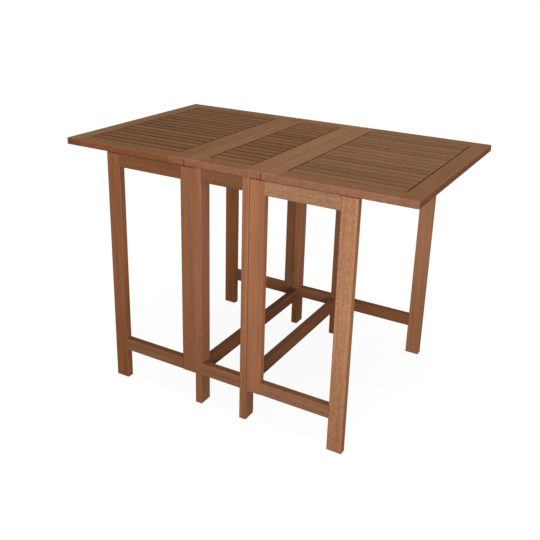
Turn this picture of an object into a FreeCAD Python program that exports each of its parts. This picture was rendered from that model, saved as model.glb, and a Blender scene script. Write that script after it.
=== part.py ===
# Folding dining table with two drop leaves on four swinging gates.
# Millimetres. X runs along the open table, Y from front to back, Z up.
# The origin is on the floor, under the middle of the table.
import FreeCAD, Part
import os
import Sketcher

VECTOR = FreeCAD.Vector
ALONG_X = VECTOR(1, 0, 0)
ALONG_Y = VECTOR(0, 1, 0)
ALONG_Z = VECTOR(0, 0, 1)

# Driving dimensions: name, value
DIMENSIONS = (
    # Whole table
    ("table_length", 1066),
    ("table_depth", 650),
    ("table_height", 740),
    ("top_thickness", 19.5),
    ("joint_gap", 3),
    # Slatted panels
    ("panel_stile_width", 48),
    ("panel_rail_width", 52),
    ("panel_edge_round", 2),
    ("panel_tenon_length", 26),
    ("panel_tenon_step", 9),
    ("slat_count", 16),
    ("slat_gap", 5),
    ("slat_thickness", 14),
    ("slat_edge_round", 1.2),
    ("slat_end_gap", 3.5),
    ("groove_depth", 7),
    ("tongue_thickness", 6),
    ("tongue_step", 4),
    # Boards of the centre frame and of the gates
    ("frame_length", 173),
    ("top_overhang", 2),
    ("side_overhang", 29.5),
    ("board_thickness", 22),
    ("board_width", 44),
    ("board_edge_round", 2),
    ("rail_height", 38),
    ("low_rail_rise", 97),
    ("tenon_thickness", 6),
    ("tenon_step", 6),
    ("leg_tenon_length", 11),
    ("wide_tenon_length", 24),
    ("tenon_end_gap", 1),
    ("gate_side_gap", 0.5),
    ("gate_top_gap", 2),
    ("gate_meeting_gap", 4),
    # Butt hinges
    ("hinge_length", 65),
    ("hinge_leaf_width", 18.5),
    ("hinge_plate_thickness", 1.5),
    ("knuckle_count", 5),
    ("knuckle_gap", 0.3),
    ("barrel_radius", 2.5),
    ("barrel_gap", 0.3),
    ("web_gap", 0.6),
    ("pin_radius", 1.5),
    ("pin_clearance", 0.05),
    ("pin_head_thickness", 1),
    ("hinge_drop", 70),
    ("hinge_rise", 70),
    ("leaf_hinge_sink", 0.9),
    ("recess_gap", 0.2),
    # Screws
    ("screw_radius", 1.45),
    ("screw_clearance", 0.05),
    ("screw_head_radius", 3),
    ("screw_tip_length", 3),
    ("screw_tip_radius", 0.4),
    ("screw_slot_width", 0.8),
    ("screw_slot_depth", 0.7),
    ("screw_slot_length", 3.4),
    ("screw_pitch", 24.5),
    ("screw_inset", 10.5),
    ("screw_stagger", 3),
    ("gate_screw_length", 18),
    ("leaf_screw_length", 12),
    ("screw_hole_spare", 1),
    ("panel_screw_radius", 2),
    ("panel_screw_head_radius", 4),
    ("panel_screw_head_height", 3),
    ("panel_screw_bore_radius", 5),
    ("panel_screw_bore_depth", 16),
    ("panel_screw_reach", 10),
    ("panel_screw_spacing", 300),
    ("panel_screw_offset", 3),
)

# Places of the leaf hinges along the joint, as shares of the table's depth
LEAF_HINGE_SHARES = (-0.34, 0, 0.34)
# Two directions count as parallel when their cosine is above this share
PARALLEL_SHARE = 0.999
# Two heights or depths count as the same within this distance
SAME_PLACE = 0.001

LEFT, RIGHT = -1, 1
FRONT, REAR = -1, 1
SIDE_NAMES = {LEFT: "left", RIGHT: "right"}
END_NAMES = {FRONT: "front", REAR: "rear"}
CORNERS = [(side, end) for end in (FRONT, REAR) for side in (LEFT, RIGHT)]

doc = FreeCAD.newDocument("FoldingTable")
sheet = doc.addObject("Spreadsheet::Sheet", "Sizes")
for row, (alias, value) in enumerate(DIMENSIONS, start=1):
    sheet.set(f"A{row}", alias)
    sheet.set(f"B{row}", str(value))
    sheet.setAlias(f"B{row}", alias)
doc.recompute()

# Places worked out from the driving dimensions, as expressions
UNDERSIDE = "(Sizes.table_height - Sizes.top_thickness)"
HALF_DEPTH = "Sizes.table_depth / 2"
FRAME_HALF_DEPTH = f"({HALF_DEPTH} - Sizes.top_overhang)"
FRAME_HALF_LENGTH = "Sizes.frame_length / 2"
PANEL_LENGTH = "(Sizes.frame_length + 2 * Sizes.side_overhang)"
PANEL_HALF_LENGTH = f"{PANEL_LENGTH} / 2"
LEAF_START = f"({PANEL_HALF_LENGTH} + Sizes.joint_gap)"
LEAF_LENGTH = f"(Sizes.table_length / 2 - {LEAF_START})"
JOINT_LINE = f"({PANEL_HALF_LENGTH} + Sizes.joint_gap / 2)"
BARREL_SEAT = "(Sizes.barrel_radius + Sizes.barrel_gap)"
LEAF_HINGE_SEAT = "(Sizes.hinge_plate_thickness - Sizes.leaf_hinge_sink)"
LEAF_HINGE_LEVEL = f"({UNDERSIDE} + Sizes.leaf_hinge_sink)"
GATE_TOP = f"({UNDERSIDE} - Sizes.gate_top_gap)"
GATE_START = f"({FRAME_HALF_LENGTH} + Sizes.gate_side_gap)"
GATE_AXIS_X = f"({FRAME_HALF_LENGTH} + {BARREL_SEAT})"
GATE_AXIS_DEPTH = f"(Sizes.board_thickness + {BARREL_SEAT})"
GATE_AXIS_Y = f"({FRAME_HALF_DEPTH} - {GATE_AXIS_DEPTH})"
GATE_OVERLAP = f"({BARREL_SEAT} - Sizes.gate_side_gap)"
GATE_LENGTH = f"({GATE_AXIS_Y} - Sizes.gate_meeting_gap / 2 + {GATE_OVERLAP})"
HINGE_HEIGHTS = {
    "top": f"({UNDERSIDE} - Sizes.hinge_drop)",
    "low": "(Sizes.low_rail_rise + Sizes.hinge_rise)",
}
SCREW_ROWS = (
    ("-Sizes.screw_pitch", "Sizes.screw_inset"),
    ("0", "(Sizes.screw_inset + Sizes.screw_stagger)"),
    ("Sizes.screw_pitch", "Sizes.screw_inset"),
)
SCREW_HOLE_RADIUS = "(Sizes.screw_radius + Sizes.screw_clearance)"
TONGUE_LOW = "(Sizes.top_thickness / 2 - Sizes.tongue_thickness / 2)"
SLAT_FIELD = "(Sizes.table_depth - 2 * Sizes.panel_rail_width)"
PANEL_SCREW_LINE = "(Sizes.board_thickness / 2 - Sizes.panel_screw_offset)"
SLAT_WIDTH = f"(({SLAT_FIELD} - (Sizes.slat_count + 1) * Sizes.slat_gap) / Sizes.slat_count)"

SUBPARTS = []


def number(expression):
    """The value of an expression over the sheet, as a plain number."""
    return float(sheet.evalExpression(expression.replace("Sizes.", "")))


def grow(sign, start, size):
    """A span, as a low end and a size, that starts at start and grows towards sign."""
    low = start if sign > 0 else f"-({start} + {size})"
    return low, size


def within(end, length, start, size):
    """A span measured inwards from the low or the high end of a length."""
    low = start if end < 0 else f"({length} - {start} - {size})"
    return low, size


def centred(size):
    """A span of the given size about zero."""
    return f"-({size}) / 2", size


def signed(sign, expression):
    """The expression, or its negative."""
    return expression if sign > 0 else f"-{expression}"


def shift(point, *moves):
    """Moves a point of three expressions along unit directions by expressions."""
    moved = list(point)
    for direction, distance in moves:
        for axis, part in enumerate(direction):
            if part > 0:
                moved[axis] = f"{moved[axis]} + {distance}"
            if part < 0:
                moved[axis] = f"{moved[axis]} - ({distance})"
    return moved


def place(item, point):
    """Ties the position of an object to three expressions."""
    for axis, expression in zip("xyz", point):
        item.setExpression(f"Placement.Base.{axis}", expression)


def bind(item, **sizes):
    """Ties properties of an object to expressions."""
    for name, expression in sizes.items():
        item.setExpression(name, expression)
    return item


def subpart(item, label):
    """Names an object as one of the pieces that are written out."""
    item.Label = label
    SUBPARTS.append(item)
    return item


# Sketched boards


def origin_plane(body, role):
    """The plane of a body's own origin that has the given role."""
    planes = [item for item in body.Origin.OriginFeatures if item.Role == role]
    return planes[0]


def new_sketch(body, name, role, offset):
    """An empty sketch on an origin plane, moved along the plane's normal."""
    sketch = body.newObject("Sketcher::SketchObject", name)
    sketch.AttachmentSupport = [(origin_plane(body, role), "")]
    sketch.MapMode = "FlatFace"
    sketch.setExpression("AttachmentOffset.Base.z", offset)
    return sketch


def add_size(sketch, kind, places, expression):
    """A named distance or radius in a sketch, tied to an expression."""
    constraint = Sketcher.Constraint(kind, *places, number(expression))
    index = sketch.addConstraint(constraint)
    name = f"{kind}_{index}"
    sketch.renameConstraint(index, name)
    sketch.setExpression(f"Constraints.{name}", expression)


def rectangle(sketch, x_span, y_span):
    """Draws a rectangle; each span is a low end and a size."""
    x_low, x_size, y_low, y_size = (number(item) for item in (*x_span, *y_span))
    x_high = x_low + x_size
    y_high = y_low + y_size
    corners = [(x_low, y_low), (x_high, y_low), (x_high, y_high), (x_low, y_high)]
    for step, corner in enumerate(corners):
        following = corners[(step + 1) % len(corners)]
        sketch.addGeometry(Part.LineSegment(VECTOR(*corner), VECTOR(*following)))
    for step in range(len(corners)):
        following = (step + 1) % len(corners)
        sketch.addConstraint(Sketcher.Constraint("Coincident", step, 2, following, 1))
    for step in (0, 2):
        sketch.addConstraint(Sketcher.Constraint("Horizontal", step))
        sketch.addConstraint(Sketcher.Constraint("Vertical", step + 1))
    add_size(sketch, "DistanceX", (-1, 1, 0, 1), x_span[0])
    add_size(sketch, "DistanceY", (-1, 1, 0, 1), y_span[0])
    add_size(sketch, "DistanceX", (0, 1, 0, 2), x_span[1])
    add_size(sketch, "DistanceY", (1, 1, 1, 2), y_span[1])


def circles(sketch, centres, radius):
    """Draws circles whose centres and radius follow expressions."""
    for x, y in centres:
        circle = Part.Circle(VECTOR(number(x), number(y)), ALONG_Z, number(radius))
        index = sketch.addGeometry(circle)
        add_size(sketch, "DistanceX", (-1, 1, index, 3), x)
        add_size(sketch, "DistanceY", (-1, 1, index, 3), y)
        add_size(sketch, "Radius", (index,), radius)


def slab(body, name, x_span, y_span, z_span):
    """Adds a block of wood; each span is a low end and a size."""
    sketch = new_sketch(body, f"{name}_outline", "XY_Plane", z_span[0])
    rectangle(sketch, x_span, y_span)
    pad = body.newObject("PartDesign::Pad", name)
    pad.Profile = sketch
    pad.setExpression("Length", z_span[1])
    doc.recompute()
    return pad


def checked(body, pocket, before):
    """Makes sure that a pocket took wood away."""
    doc.recompute()
    if not pocket.Shape.Volume < before:
        raise RuntimeError(f"{body.Name}: {pocket.Name} cuts nothing")
    return pocket


def slot(body, name, x_span, y_span, z_span):
    """Cuts a mortise, groove or recess; each span is a low end and a size."""
    before = body.Tip.Shape.Volume
    sketch = new_sketch(body, f"{name}_outline", "XY_Plane", f"{z_span[0]} + {z_span[1]}")
    rectangle(sketch, x_span, y_span)
    pocket = body.newObject("PartDesign::Pocket", name)
    pocket.Profile = sketch
    pocket.setExpression("Length", z_span[1])
    return checked(body, pocket, before)


def drill(body, name, role, offset, centres, radius, depth=None, forwards=False):
    """Drills round holes from a plane, to a depth or right through the board."""
    before = body.Tip.Shape.Volume
    sketch = new_sketch(body, f"{name}_outline", role, offset)
    circles(sketch, centres, radius)
    pocket = body.newObject("PartDesign::Pocket", name)
    pocket.Profile = sketch
    if depth is None:
        pocket.Type = "ThroughAll"
        pocket.SideType = "Symmetric"
    else:
        pocket.setExpression("Length", depth)
        pocket.Reversed = forwards
    return checked(body, pocket, before)


def soften(body, radius, wanted):
    """Rounds those edges of a body whose two end points pass a test."""
    base = body.Tip
    names = []
    for index, edge in enumerate(base.Shape.Edges, start=1):
        start, end = (vertex.Point for vertex in edge.Vertexes)
        if wanted(start, end):
            names.append(f"Edge{index}")
    fillet = body.newObject("PartDesign::Fillet", "softened")
    fillet.Base = (base, names)
    fillet.setExpression("Radius", radius)
    doc.recompute()


def is_parallel(start, end, direction):
    """Whether an edge runs along a direction."""
    return abs((end - start).normalize().dot(direction)) > PARALLEL_SHARE


def board(label, point, spans, grain):
    """A board with its four long edges rounded; grain is its long direction."""
    body = doc.addObject("PartDesign::Body", label)
    place(body, point)
    slab(body, "blank", *spans)
    soften(body, "Sizes.board_edge_round", lambda start, end: is_parallel(start, end, grain))
    return subpart(body, label)


# Slatted panels of the top


def panel_board(label, point, spans, is_outside):
    """A flat board of a panel; only its edges on the panel's outside are rounded."""
    body = doc.addObject("PartDesign::Body", label)
    place(body, point)
    slab(body, "blank", *spans)
    soften(body, "Sizes.panel_edge_round", is_outside)
    return subpart(body, label)


def panel_stile(label, point, length, end, has_hinges, is_screwed):
    """An end board of a panel, grooved for the slats and mortised for the rails."""
    width = "Sizes.panel_stile_width"
    full_height = ("0", "Sizes.top_thickness")
    outer_x = 0 if end < 0 else number(length)
    end_depths = (0, number("Sizes.table_depth"))

    def is_outside(start, finish):
        on_side = all(abs(item.x - outer_x) < SAME_PLACE for item in (start, finish))
        on_end = any(
            all(abs(item.y - depth) < SAME_PLACE for item in (start, finish))
            for depth in end_depths
        )
        if is_parallel(start, finish, ALONG_Z):
            return on_side and on_end
        return on_side or on_end

    spans = (within(end, length, "0", width), ("0", "Sizes.table_depth"), full_height)
    body = panel_board(label, point, spans, is_outside)
    tongue_span = (TONGUE_LOW, "Sizes.tongue_thickness")
    groove_start = f"({width} - Sizes.groove_depth)"
    groove_span = within(end, length, groove_start, "Sizes.groove_depth")
    slot(body, "slat_groove", groove_span, ("Sizes.panel_rail_width", SLAT_FIELD), tongue_span)
    mortise_depth = "(Sizes.panel_tenon_length + Sizes.tenon_end_gap)"
    mortise_span = within(end, length, f"({width} - {mortise_depth})", mortise_depth)
    tenon_width = "(Sizes.panel_rail_width - 2 * Sizes.panel_tenon_step)"
    for rail_end in (FRONT, REAR):
        rail_span = within(rail_end, "Sizes.table_depth", "Sizes.panel_tenon_step", tenon_width)
        slot(body, f"mortise_{END_NAMES[rail_end]}", mortise_span, rail_span, tongue_span)
    if has_hinges:
        let_in_hinges(body, length, end)
    if is_screwed:
        screw_line = f"(Sizes.side_overhang + {PANEL_SCREW_LINE})"
        hole_x = within(end, length, screw_line, "0")[0]
        spread = "Sizes.panel_screw_spacing / 2"
        centres = [(hole_x, f"{HALF_DEPTH} - {spread}"), (hole_x, f"{HALF_DEPTH} + {spread}")]
        hole = "(Sizes.panel_screw_radius + Sizes.screw_clearance)"
        depth = "(Sizes.panel_screw_reach + Sizes.tenon_end_gap / 2)"
        drill(body, "panel_screw_holes", "XY_Plane", "0", centres, hole, depth, forwards=True)
    return body


def let_in_hinges(body, length, end):
    """Recesses under a stile for the leaf hinges, with their screw holes."""
    line = "(-Sizes.joint_gap / 2)"
    plate_reach = "(Sizes.hinge_leaf_width + Sizes.recess_gap)"
    plate_height = "(Sizes.hinge_length + 2 * Sizes.recess_gap)"
    barrel_height = f"({plate_height} + 2 * Sizes.pin_head_thickness)"
    barrel_depth = f"({BARREL_SEAT} + Sizes.leaf_hinge_sink)"
    for index, share in enumerate(LEAF_HINGE_SHARES, start=1):
        middle = f"({HALF_DEPTH} + {share} * Sizes.table_depth)"
        plate_span = (f"{middle} - {plate_height} / 2", plate_height)
        barrel_span = (f"{middle} - {barrel_height} / 2", barrel_height)
        plate_x = within(end, length, line, plate_reach)
        barrel_x = within(end, length, line, BARREL_SEAT)
        plate_z = ("0", "Sizes.hinge_plate_thickness")
        slot(body, f"plate_recess_{index}", plate_x, plate_span, plate_z)
        slot(body, f"barrel_recess_{index}", barrel_x, barrel_span, ("0", barrel_depth))
        centres = []
        for along, inset in SCREW_ROWS:
            hole_x = within(end, length, f"({line} + {inset})", "0")
            centres.append((hole_x[0], f"{middle} + {along}"))
        depth = "(Sizes.leaf_screw_length + Sizes.screw_hole_spare)"
        name = f"screw_holes_{index}"
        drill(body, name, "XY_Plane", "0", centres, SCREW_HOLE_RADIUS, depth, forwards=True)


def panel_rail(label, point, length, rail_end):
    """A front or rear rail of a panel, with a tenon at each end."""
    clear_length = f"({length} - 2 * Sizes.panel_stile_width)"
    tenon_start = "(Sizes.panel_stile_width - Sizes.panel_tenon_length)"
    tenon_run = f"({clear_length} + 2 * Sizes.panel_tenon_length)"
    tenon_width = "(Sizes.panel_rail_width - 2 * Sizes.panel_tenon_step)"
    outer_depth = 0 if rail_end < 0 else number("Sizes.table_depth")

    def is_outside(start, finish):
        on_front = all(abs(item.y - outer_depth) < SAME_PLACE for item in (start, finish))
        return on_front and is_parallel(start, finish, ALONG_X)

    x_span = ("Sizes.panel_stile_width", clear_length)
    y_span = within(rail_end, "Sizes.table_depth", "0", "Sizes.panel_rail_width")
    body = panel_board(label, point, (x_span, y_span, ("0", "Sizes.top_thickness")), is_outside)
    tenon_y = within(rail_end, "Sizes.table_depth", "Sizes.panel_tenon_step", tenon_width)
    tongue_span = (TONGUE_LOW, "Sizes.tongue_thickness")
    slab(body, "tenons", (tenon_start, tenon_run), tenon_y, tongue_span)
    return body


def panel_slats(label, point, length):
    """The slats of a panel: one modelled slat and its copies, as one group."""
    body = doc.addObject("PartDesign::Body", f"{label}_pattern")
    slat_start = "(Sizes.panel_stile_width + Sizes.slat_end_gap)"
    slat_run = f"({length} - 2 * {slat_start})"
    slat_low = "(Sizes.top_thickness - Sizes.slat_thickness)"
    slat_height = (slat_low, "Sizes.slat_thickness")
    slab(body, "blank", (slat_start, slat_run), ("0", SLAT_WIDTH), slat_height)
    soften(body, "Sizes.slat_edge_round", lambda start, end: is_parallel(start, end, ALONG_X))
    tongue_length = "(Sizes.slat_end_gap + Sizes.groove_depth - Sizes.tenon_end_gap)"
    tongue_start = f"({slat_start} - {tongue_length})"
    tongue_run = f"({slat_run} + 2 * {tongue_length})"
    tongue_y = ("Sizes.tongue_step", f"({SLAT_WIDTH} - 2 * Sizes.tongue_step)")
    tongue_height = (TONGUE_LOW, "Sizes.tongue_thickness")
    slab(body, "tongues", (tongue_start, tongue_run), tongue_y, tongue_height)
    first = shift(point, (ALONG_Y, "Sizes.panel_rail_width"), (ALONG_Y, "Sizes.slat_gap"))
    place(body, first)
    slats = [body]
    for index in range(1, int(number("Sizes.slat_count"))):
        copy = doc.addObject("App::Link", f"{label}_{index + 1}")
        copy.LinkedObject = body
        place(copy, shift(first, (ALONG_Y, f"{index} * ({SLAT_WIDTH} + Sizes.slat_gap)")))
        slats.append(copy)
    group = doc.addObject("Part::Compound", label)
    group.Links = slats
    return subpart(group, label)


def panel(prefix, x_start, length, hinged_ends, is_screwed=False):
    """A slatted panel; x_start is where its low end lies, hinged_ends has its hinges."""
    point = (x_start, f"-{HALF_DEPTH}", UNDERSIDE)
    for end in (LEFT, RIGHT):
        label = f"{prefix}_stile_{SIDE_NAMES[end]}"
        panel_stile(label, point, length, end, end in hinged_ends, is_screwed)
    for end in (FRONT, REAR):
        panel_rail(f"{prefix}_rail_{END_NAMES[end]}", point, length, end)
    panel_slats(f"{prefix}_slats", point, length)


# Centre frame


def tenon_heights(low):
    """The height span of a rail's tenons, where low is the rail's lower edge."""
    return f"({low} + Sizes.tenon_step)", "(Sizes.rail_height - 2 * Sizes.tenon_step)"


def middle_span(sign):
    """The span of a tenon in the middle of a board's thickness, growing towards sign."""
    start = "(Sizes.board_thickness / 2 - Sizes.tenon_thickness / 2)"
    return grow(sign, start, "Sizes.tenon_thickness")


TOP_RAIL_LOW = f"({UNDERSIDE} - Sizes.rail_height)"
RAIL_LEVELS = {"top": TOP_RAIL_LOW, "low": "Sizes.low_rail_rise"}


def frame_leg(side, end):
    """A leg of the centre frame, with its mortises and hinge screw holes."""
    label = f"leg_{END_NAMES[end]}_{SIDE_NAMES[side]}"
    point = (signed(side, FRAME_HALF_LENGTH), signed(end, FRAME_HALF_DEPTH), "0")
    x_span = grow(-side, "0", "Sizes.board_thickness")
    y_span = grow(-end, "0", "Sizes.board_width")
    body = board(label, point, (x_span, y_span, ("0", UNDERSIDE)), ALONG_Z)
    short_depth = "(Sizes.leg_tenon_length + Sizes.tenon_end_gap)"
    short_x = grow(-side, f"(Sizes.board_thickness - {short_depth})", short_depth)
    long_depth = "(Sizes.wide_tenon_length + Sizes.tenon_end_gap)"
    long_y = grow(-end, f"(Sizes.board_width - {long_depth})", long_depth)
    for level, low in RAIL_LEVELS.items():
        heights = tenon_heights(low)
        slot(body, f"end_mortise_{level}", short_x, middle_span(-end), heights)
        slot(body, f"side_mortise_{level}", middle_span(-side), long_y, heights)
    centres = []
    for height in HINGE_HEIGHTS.values():
        for along, inset in SCREW_ROWS:
            hole_y = signed(-end, f"({GATE_AXIS_DEPTH} + {inset})")
            centres.append((hole_y, f"{height} + {along}"))
    depth = "(Sizes.gate_screw_length + Sizes.screw_hole_spare - Sizes.hinge_plate_thickness)"
    goes_up = side == LEFT
    drill(body, "screw_holes", "YZ_Plane", "0", centres, SCREW_HOLE_RADIUS, depth, goes_up)


def end_rail(label, end, low):
    """A rail between the two legs at the front or at the rear."""
    point = ("0", signed(end, FRAME_HALF_DEPTH), low)
    clear_length = "(Sizes.frame_length - 2 * Sizes.board_thickness)"
    y_span = grow(-end, "0", "Sizes.board_thickness")
    spans = (centred(clear_length), y_span, ("0", "Sizes.rail_height"))
    body = board(label, point, spans, ALONG_X)
    tenon_run = f"({clear_length} + 2 * Sizes.leg_tenon_length)"
    slab(body, "tenons", centred(tenon_run), middle_span(-end), tenon_heights("0"))


def side_rail(label, side, low, is_screwed):
    """A rail between the front and the rear leg on one side."""
    point = (signed(side, FRAME_HALF_LENGTH), "0", low)
    clear_length = f"(2 * {FRAME_HALF_DEPTH} - 2 * Sizes.board_width)"
    x_span = grow(-side, "0", "Sizes.board_thickness")
    spans = (x_span, centred(clear_length), ("0", "Sizes.rail_height"))
    body = board(label, point, spans, ALONG_Y)
    tenon_run = f"({clear_length} + 2 * Sizes.wide_tenon_length)"
    slab(body, "tenons", middle_span(-side), centred(tenon_run), tenon_heights("0"))
    if is_screwed:
        line = signed(-side, PANEL_SCREW_LINE)
        spread = "Sizes.panel_screw_spacing / 2"
        centres = [(line, signed(end, spread)) for end in (FRONT, REAR)]
        hole = "(Sizes.panel_screw_radius + Sizes.screw_clearance)"
        drill(body, "screw_holes", "XY_Plane", "0", centres, hole)
        bore = "Sizes.panel_screw_bore_radius"
        depth = "Sizes.panel_screw_bore_depth"
        drill(body, "screw_bores", "XY_Plane", "0", centres, bore, depth, forwards=True)


def centre_frame():
    """Legs, aprons, stretchers and side rails."""
    for side, end in CORNERS:
        frame_leg(side, end)
    for end in (FRONT, REAR):
        end_rail(f"apron_{END_NAMES[end]}", end, TOP_RAIL_LOW)
        end_rail(f"stretcher_{END_NAMES[end]}", end, "Sizes.low_rail_rise")
    for side in (LEFT, RIGHT):
        side_rail(f"side_rail_{SIDE_NAMES[side]}", side, TOP_RAIL_LOW, is_screwed=True)
        low_label = f"side_stretcher_{SIDE_NAMES[side]}"
        side_rail(low_label, side, "Sizes.low_rail_rise", is_screwed=False)


# Gates


def gate(side, end):
    """The four boards of a swinging gate."""
    prefix = f"gate_{END_NAMES[end]}_{SIDE_NAMES[side]}"
    point = (signed(side, GATE_START), signed(end, FRAME_HALF_DEPTH), "0")
    y_span = grow(-end, "0", "Sizes.board_thickness")
    tenon_y = middle_span(-end)
    levels = {"top": f"({GATE_TOP} - Sizes.rail_height)", "low": "Sizes.low_rail_rise"}
    leg_start = f"({GATE_LENGTH} - Sizes.board_width)"
    mortise_depth = "(Sizes.wide_tenon_length + Sizes.tenon_end_gap)"

    x_span = grow(side, leg_start, "Sizes.board_width")
    leg = board(f"{prefix}_leg", point, (x_span, y_span, ("0", GATE_TOP)), ALONG_Z)
    stile_height = f"({GATE_TOP} - Sizes.low_rail_rise)"
    x_span = grow(side, "0", "Sizes.board_width")
    z_span = ("Sizes.low_rail_rise", stile_height)
    stile = board(f"{prefix}_stile", point, (x_span, y_span, z_span), ALONG_Z)
    stile_mortise = f"(Sizes.board_width - {mortise_depth})"
    for level, low in levels.items():
        heights = tenon_heights(low)
        slot(leg, f"mortise_{level}", grow(side, leg_start, mortise_depth), tenon_y, heights)
        slot(stile, f"mortise_{level}", grow(side, stile_mortise, mortise_depth), tenon_y, heights)
    centres = []
    for height in HINGE_HEIGHTS.values():
        for along, inset in SCREW_ROWS:
            centres.append((signed(side, f"({inset} + {GATE_OVERLAP})"), f"{height} + {along}"))
    drill(stile, "screw_holes", "XZ_Plane", "0", centres, SCREW_HOLE_RADIUS)

    clear_length = f"({leg_start} - Sizes.board_width)"
    tenon_start = "(Sizes.board_width - Sizes.wide_tenon_length)"
    tenon_run = f"({clear_length} + 2 * Sizes.wide_tenon_length)"
    for level, low in levels.items():
        x_span = grow(side, "Sizes.board_width", clear_length)
        rail_spans = (x_span, y_span, (low, "Sizes.rail_height"))
        rail = board(f"{prefix}_{level}_rail", point, rail_spans, ALONG_X)
        slab(rail, "tenons", grow(side, tenon_start, tenon_run), tenon_y, tenon_heights(low))


# Hinges and screws


def box(name, point, length, width, height):
    """A plain block with its low corner at a point of expressions."""
    item = doc.addObject("Part::Box", name)
    place(item, point)
    return bind(item, Length=length, Width=width, Height=height)


def cylinder(name, point, radius, height):
    """A round bar that stands on a point of expressions."""
    item = doc.addObject("Part::Cylinder", name)
    place(item, point)
    return bind(item, Radius=radius, Height=height)


def cone(name, point, low_radius, high_radius, height):
    """A cone that stands on a point of expressions."""
    item = doc.addObject("Part::Cone", name)
    place(item, point)
    return bind(item, Radius1=low_radius, Radius2=high_radius, Height=height)


def joined(name, shapes):
    """Several solids fused into one."""
    item = doc.addObject("Part::MultiFuse", name)
    item.Shapes = shapes
    return item


def without(name, base, tool):
    """A solid less another."""
    item = doc.addObject("Part::Cut", name)
    item.Base = base
    item.Tool = tool
    return item


def hinge_leaf(name, seat, first_knuckle):
    """One leaf of a butt hinge.

    Its pin line is Z, its plate reaches along X, and the wood lies at -seat along Y.
    """
    length = "Sizes.hinge_length"
    plate = "Sizes.hinge_plate_thickness"
    web = "(Sizes.barrel_radius + Sizes.web_gap)"
    wood = f"-{seat}"
    low = f"-{length} / 2"
    reach = f"Sizes.hinge_leaf_width - {web}"
    solids = [box(f"{name}_plate", (web, wood, low), reach, plate, length)]
    pitch = f"{length} / Sizes.knuckle_count"
    height = f"({pitch} - Sizes.knuckle_gap)"
    for index in range(first_knuckle, int(number("Sizes.knuckle_count")), 2):
        knuckle_low = f"{low} + {index} * {pitch} + Sizes.knuckle_gap / 2"
        solids.append(box(f"{name}_web_{index}", ("0", wood, knuckle_low), web, plate, height))
        foot = ("0", "0", knuckle_low)
        solids.append(cylinder(f"{name}_barrel_{index}", foot, "Sizes.barrel_radius", height))
    bore_radius = "Sizes.pin_radius + Sizes.pin_clearance"
    holes = [cylinder(f"{name}_bore", ("0", "0", low), bore_radius, length)]
    head_radius = "Sizes.screw_head_radius + Sizes.screw_clearance"
    for index, (along, inset) in enumerate(SCREW_ROWS):
        spot = (inset, wood, along)
        hole = cone(f"{name}_sink_{index}", spot, SCREW_HOLE_RADIUS, head_radius, plate)
        turn = FreeCAD.Rotation(ALONG_X, -ALONG_Z, ALONG_Y, "XYZ")
        hole.Placement = FreeCAD.Placement(VECTOR(), turn)
        holes.append(hole)
    blank = joined(f"{name}_blank", solids)
    return without(name, blank, joined(f"{name}_holes", holes))


def hinge_pin(name):
    """A hinge pin along Z with a head at each end."""
    length = "(Sizes.hinge_length - Sizes.knuckle_gap)"
    head = "Sizes.pin_head_thickness"
    rod = cylinder(f"{name}_rod", ("0", "0", f"-{length} / 2"), "Sizes.pin_radius", length)
    low = ("0", "0", f"-{length} / 2 - {head}")
    high = ("0", "0", f"{length} / 2")
    heads = [
        cylinder(f"{name}_low_head", low, "Sizes.barrel_radius", head),
        cylinder(f"{name}_high_head", high, "Sizes.barrel_radius", head),
    ]
    return joined(name, [rod, *heads])


def hinge_screw(name, length):
    """A countersunk screw along Y; the middle of its head's face is at the origin."""
    sink = "Sizes.hinge_plate_thickness"
    tip = "Sizes.screw_tip_length"
    shank = f"({length} - {sink} - {tip})"
    radius = "Sizes.screw_radius"
    tip_radius = "Sizes.screw_tip_radius"
    head_radius = "Sizes.screw_head_radius"
    solids = [
        cone(f"{name}_head", ("0", "0", f"-{sink}"), radius, head_radius, sink),
        cylinder(f"{name}_shank", ("0", "0", f"-{sink} - {shank}"), radius, shank),
        cone(f"{name}_tip", ("0", "0", f"-{length}"), tip_radius, radius, tip),
    ]
    slot_low = "-Sizes.screw_slot_depth"
    across = "Sizes.screw_slot_length"
    narrow = "Sizes.screw_slot_width"
    first = (f"-{across} / 2", f"-{narrow} / 2", slot_low)
    second = (f"-{narrow} / 2", f"-{across} / 2", slot_low)
    slots = [
        box(f"{name}_slot_1", first, across, narrow, across),
        box(f"{name}_slot_2", second, narrow, across, across),
    ]
    blank = joined(f"{name}_blank", solids)
    return without(name, blank, joined(f"{name}_slots", slots))


def panel_screw(name):
    """A round headed screw along Z; its head's seat is at the origin."""
    head = "Sizes.panel_screw_head_height"
    shank = "Sizes.rail_height - Sizes.panel_screw_bore_depth + Sizes.panel_screw_reach"
    solids = [
        cylinder(f"{name}_head", ("0", "0", f"-{head}"), "Sizes.panel_screw_head_radius", head),
        cylinder(f"{name}_shank", ("0", "0", "0"), "Sizes.panel_screw_radius", shank),
    ]
    return joined(name, solids)


def copy_of(master, name, point, x_way, y_way):
    """A linked copy whose own X and Y point along the given directions."""
    copy = doc.addObject("App::Link", name)
    copy.LinkedObject = master
    turn = FreeCAD.Rotation(x_way, y_way, x_way.cross(y_way), "XYZ")
    copy.Placement = FreeCAD.Placement(VECTOR(), turn)
    place(copy, point)
    return copy


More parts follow.
